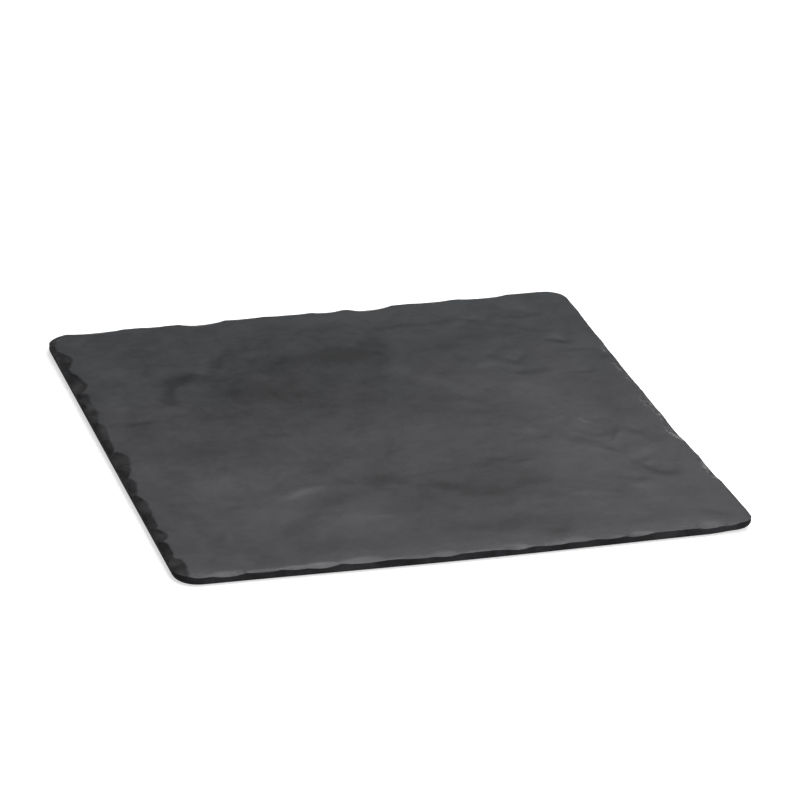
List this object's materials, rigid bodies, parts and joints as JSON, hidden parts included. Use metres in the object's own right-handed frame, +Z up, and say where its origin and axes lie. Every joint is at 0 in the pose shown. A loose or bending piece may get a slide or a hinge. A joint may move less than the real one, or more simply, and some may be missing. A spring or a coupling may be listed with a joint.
{
  "type": "display platter",
  "caption": "Square moulded display platter with a slate look: riven dark grey top, chipped edge, rounded lower rim and soft anti-slip feet bonded into seats underneath.",
  "frame": {"origin": "middle of the footprint, on the table that the feet stand on", "axes": "+Z up out of the top face, +X to the right and +Y to the back as the picture's front edge is seen"},
  "size_m": [0.305, 0.3047, 0.0074],
  "materials": {
    "slate_melamine": "satin, riven slate texture",
    "foot_rubber": "matte",
    "adhesive_foam": "matte closed-cell foam"
  },
  "bodies": {
    "root": {"slab": "slate_melamine", "front_left_foot": "foot_rubber", "front_right_foot": "foot_rubber", "back_right_foot": "foot_rubber", "back_left_foot": "foot_rubber", "front_left_adhesive_disc": "adhesive_foam", "front_right_adhesive_disc": "adhesive_foam", "back_right_adhesive_disc": "adhesive_foam", "back_left_adhesive_disc": "adhesive_foam"}
  },
  "joints": []
}
